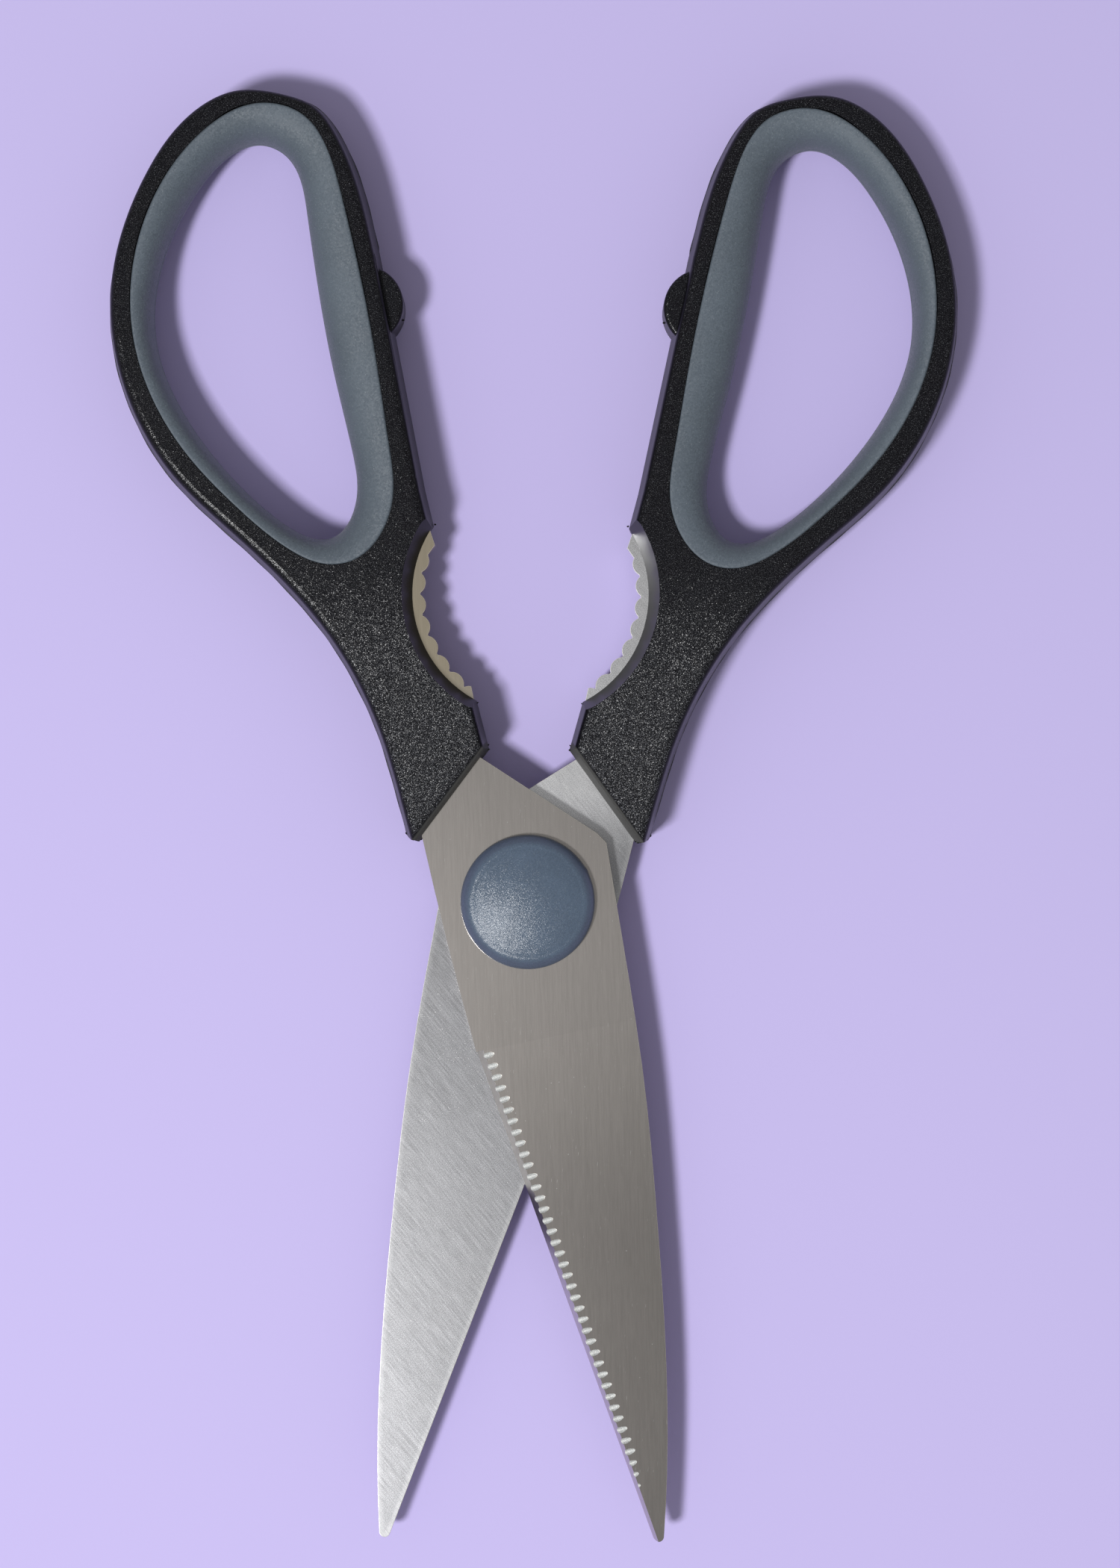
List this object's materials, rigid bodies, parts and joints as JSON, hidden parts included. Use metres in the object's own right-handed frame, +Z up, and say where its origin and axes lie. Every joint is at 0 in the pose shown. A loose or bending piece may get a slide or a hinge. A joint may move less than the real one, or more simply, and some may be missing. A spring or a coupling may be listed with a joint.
{
  "type": "kitchen shears",
  "caption": "Kitchen shears lying part open: flat steel blades on a capped pivot, hard black handles with soft grey finger loops, and a toothed jaw for gripping caps and nuts.",
  "frame": {"origin": "on the pivot's axis, at the table surface, which is the flat underside of the rear pivot cap", "axes": "+Z up, away from the table and along the pivot; +Y from the pivot towards the handles, half way between them; +X towards the rear half's handle"},
  "size_m": [0.1206, 0.2055, 0.012],
  "materials": {
    "front_steel": "brushed along the blade",
    "rear_steel": "ground slightly across the blade",
    "handle_plastic": "fine spark-eroded grain",
    "grip_rubber": "satin",
    "cap_plastic": "fine speckled grain",
    "pivot_steel": "turned"
  },
  "bodies": {
    "rear_half": {"rear_blade": "rear_steel", "rear_handle": "handle_plastic", "rear_grip": "grip_rubber", "rear_cap": "cap_plastic", "pivot_screw": "pivot_steel", "thrust_washer": "pivot_steel", "disc_spring": "pivot_steel", "pivot_nut": "pivot_steel", "front_cap": "cap_plastic"},
    "front_half": {"front_blade": "front_steel", "front_handle": "handle_plastic", "front_grip": "grip_rubber"}
  },
  "joints": [
    {"name": "pivot", "type": "hinge", "parent": "rear_half", "child": "front_half", "pos_m": [0, 0, 0.006], "axis": [0, 0, 1], "range_deg": [-24.4, 63.5]}
  ]
}
